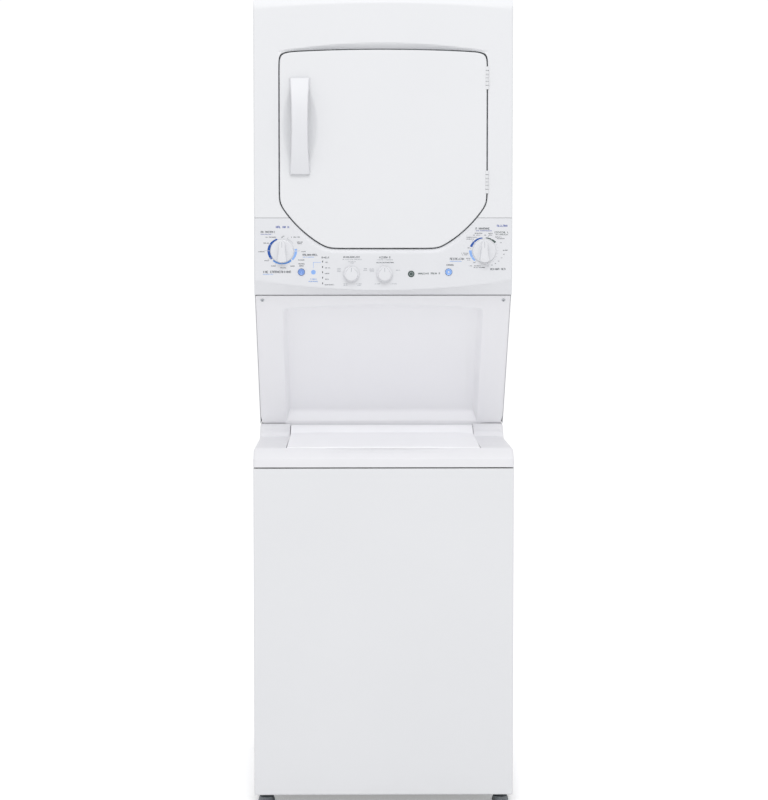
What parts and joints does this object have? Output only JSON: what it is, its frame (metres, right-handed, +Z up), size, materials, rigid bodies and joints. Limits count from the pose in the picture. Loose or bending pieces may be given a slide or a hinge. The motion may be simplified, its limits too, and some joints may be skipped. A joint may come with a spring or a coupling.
{
  "type": "stacked laundry centre",
  "caption": "White stacked laundry centre: a top-loading washer with a front-loading dryer above it and one control panel between them.",
  "frame": {"origin": "on the floor under the middle of the whole object's box", "axes": "+X to the right as a user faces it, +Y towards its back, +Z up"},
  "size_m": [0.603, 0.772, 1.89],
  "materials": {
    "white enamel": "gloss",
    "white moulding": "satin",
    "blue button": "satin",
    "galvanised steel": "spangled",
    "stainless steel": "brushed",
    "cast aluminium": "as cast",
    "grey plastic": "matt",
    "tub plastic": "satin",
    "black rubber": "matt"
  },
  "bodies": {
    "cabinet": {"washer_cabinet": "white enamel", "washer_front_panel": "white enamel", "sloping_panel": "white enamel", "upper_cabinet": "white enamel", "dryer_top_panel": "white enamel", "dryer_front_panel": "white enamel", "washer_top_cover": "white moulding", "control_panel": "white moulding", "base_frame": "galvanised steel", "drum_front_bulkhead": "galvanised steel", "drum_rear_bulkhead": "galvanised steel", "dryer_motor": "galvanised steel", "exhaust_duct": "galvanised steel", "dryer_deck": "galvanised steel", "heater_box": "galvanised steel", "door_hinge_upper_fixed_leaf": "galvanised steel", "door_hinge_lower_fixed_leaf": "galvanised steel", "lid_hinge_rod": "galvanised steel", "suspension_strut_front_left": "galvanised steel", "suspension_strut_front_right": "galvanised steel", "suspension_strut_rear_left": "galvanised steel", "suspension_strut_rear_right": "galvanised steel", "leveling_foot_front_left": "grey plastic", "leveling_foot_front_right": "grey plastic", "leveling_foot_rear_left": "grey plastic", "leveling_foot_rear_right": "grey plastic", "blower_housing": "grey plastic", "washer_timer": "grey plastic", "dryer_timer": "grey plastic", "control_board": "grey plastic", "drain_pump": "grey plastic", "water_valve": "grey plastic", "drum_belt": "black rubber"},
    "lid": {"washer_lid": "white moulding"},
    "door": {"door_outer_panel": "white enamel", "door_inner_panel": "white moulding", "door_handle": "white moulding", "door_hinge_upper_moving_leaf": "galvanised steel", "door_hinge_lower_moving_leaf": "galvanised steel"},
    "tub": {"outer_tub": "tub plastic", "tub_cover": "tub plastic", "gearcase": "cast aluminium", "washer_motor": "galvanised steel", "washer_drive_belt": "black rubber"},
    "basket": {"wash_basket": "tub plastic", "washer_drive_pulley": "galvanised steel"},
    "agitator": {"agitator": "tub plastic"},
    "washer_motor_rotor": {"washer_motor_pulley": "galvanised steel"},
    "drum": {"dryer_drum": "stainless steel"},
    "roller_left": {"drum_roller_left": "grey plastic"},
    "roller_right": {"drum_roller_right": "grey plastic"},
    "idler": {"idler_pulley": "grey plastic"},
    "blower": {"blower_wheel": "grey plastic"},
    "lint_screen": {"lint_filter": "grey plastic"},
    "washer_dial": {"washer_cycle_knob": "white moulding"},
    "dryer_dial": {"dryer_cycle_knob": "white moulding"},
    "temperature_dial": {"temperature_knob": "white moulding"},
    "load_dial": {"load_size_knob": "white moulding"},
    "rinse_key": {"extra_rinse_button": "blue button"},
    "start_key": {"start_button": "blue button"}
  },
  "joints": [
    {"name": "lid_hinge", "type": "hinge", "parent": "cabinet", "child": "lid", "pos_m": [0, 0.055, 0.845], "axis": [-1, 0, 0], "range_deg": [0, 50]},
    {"name": "door_hinge", "type": "hinge", "parent": "cabinet", "child": "door", "pos_m": [0.2415, -0.2935, 1.5495], "axis": [0, 0, 1], "range_deg": [0, 165]},
    {"name": "tub_travel", "type": "slide", "parent": "cabinet", "child": "tub", "axis": [0, 0, 1], "range_m": [-0.015, 0.015], "stiffness_N_per_m": 8000, "springref_m": 0.0331},
    {"name": "basket_spin", "type": "hinge", "parent": "tub", "child": "basket", "pos_m": [0, -0.071, 0.1], "axis": [0, 0, 1], "continuous": true},
    {"name": "agitator_stroke", "type": "hinge", "parent": "basket", "child": "agitator", "pos_m": [0, -0.071, 0.4], "axis": [0, 0, 1], "range_deg": [-105, 105]},
    {"name": "washer_motor_spin", "type": "hinge", "parent": "tub", "child": "washer_motor_rotor", "pos_m": [0.135, 0.014, 0.1], "axis": [0, 0, 1], "continuous": true},
    {"name": "drum_spin", "type": "hinge", "parent": "cabinet", "child": "drum", "pos_m": [0, 0, 1.5495], "axis": [0, 1, 0], "continuous": true},
    {"name": "roller_left_spin", "type": "hinge", "parent": "cabinet", "child": "roller_left", "pos_m": [-0.17632, 0.244, 1.29769], "axis": [0, 1, 0], "continuous": true},
    {"name": "roller_right_spin", "type": "hinge", "parent": "cabinet", "child": "roller_right", "pos_m": [0.17632, 0.244, 1.29769], "axis": [0, 1, 0], "continuous": true},
    {"name": "idler_spin", "type": "hinge", "parent": "cabinet", "child": "idler", "pos_m": [-0.24988, 0.182, 1.34136], "axis": [0, 1, 0], "continuous": true},
    {"name": "blower_spin", "type": "hinge", "parent": "cabinet", "child": "blower", "pos_m": [-0.2, 0.1, 1.262], "axis": [0, 1, 0], "continuous": true},
    {"name": "lint_screen_pull", "type": "slide", "parent": "cabinet", "child": "lint_screen", "axis": [0, 0, 1], "range_m": [0, 0.085]},
    {"name": "washer_dial_turn", "type": "hinge", "parent": "cabinet", "child": "washer_dial", "pos_m": [-0.236, -0.292, 1.292], "axis": [0, -1, 0], "continuous": true},
    {"name": "dryer_dial_turn", "type": "hinge", "parent": "cabinet", "child": "dryer_dial", "pos_m": [0.236, -0.292, 1.292], "axis": [0, -1, 0], "continuous": true},
    {"name": "temperature_dial_turn", "type": "hinge", "parent": "cabinet", "child": "temperature_dial", "pos_m": [-0.0745, -0.292, 1.238], "axis": [0, -1, 0], "range_deg": [-144, 144]},
    {"name": "load_dial_turn", "type": "hinge", "parent": "cabinet", "child": "load_dial", "pos_m": [0.0034, -0.292, 1.238], "axis": [0, -1, 0], "range_deg": [-144, 144]},
    {"name": "rinse_key_press", "type": "slide", "parent": "cabinet", "child": "rinse_key", "axis": [0, 1, 0], "range_m": [0, 0.003], "stiffness_N_per_m": 400, "springref_m": -0.001},
    {"name": "start_key_press", "type": "slide", "parent": "cabinet", "child": "start_key", "axis": [0, 1, 0], "range_m": [0, 0.003], "stiffness_N_per_m": 400, "springref_m": -0.001}
  ],
  "couplings": [
    {"joint": "washer_motor_spin", "follows": "basket_spin", "ratio": 3.5},
    {"joint": "roller_left_spin", "follows": "drum_spin", "ratio": -7.7714},
    {"joint": "roller_right_spin", "follows": "drum_spin", "ratio": -7.7714},
    {"joint": "idler_spin", "follows": "drum_spin", "ratio": -17},
    {"joint": "blower_spin", "follows": "drum_spin", "ratio": 24.727}
  ]
}
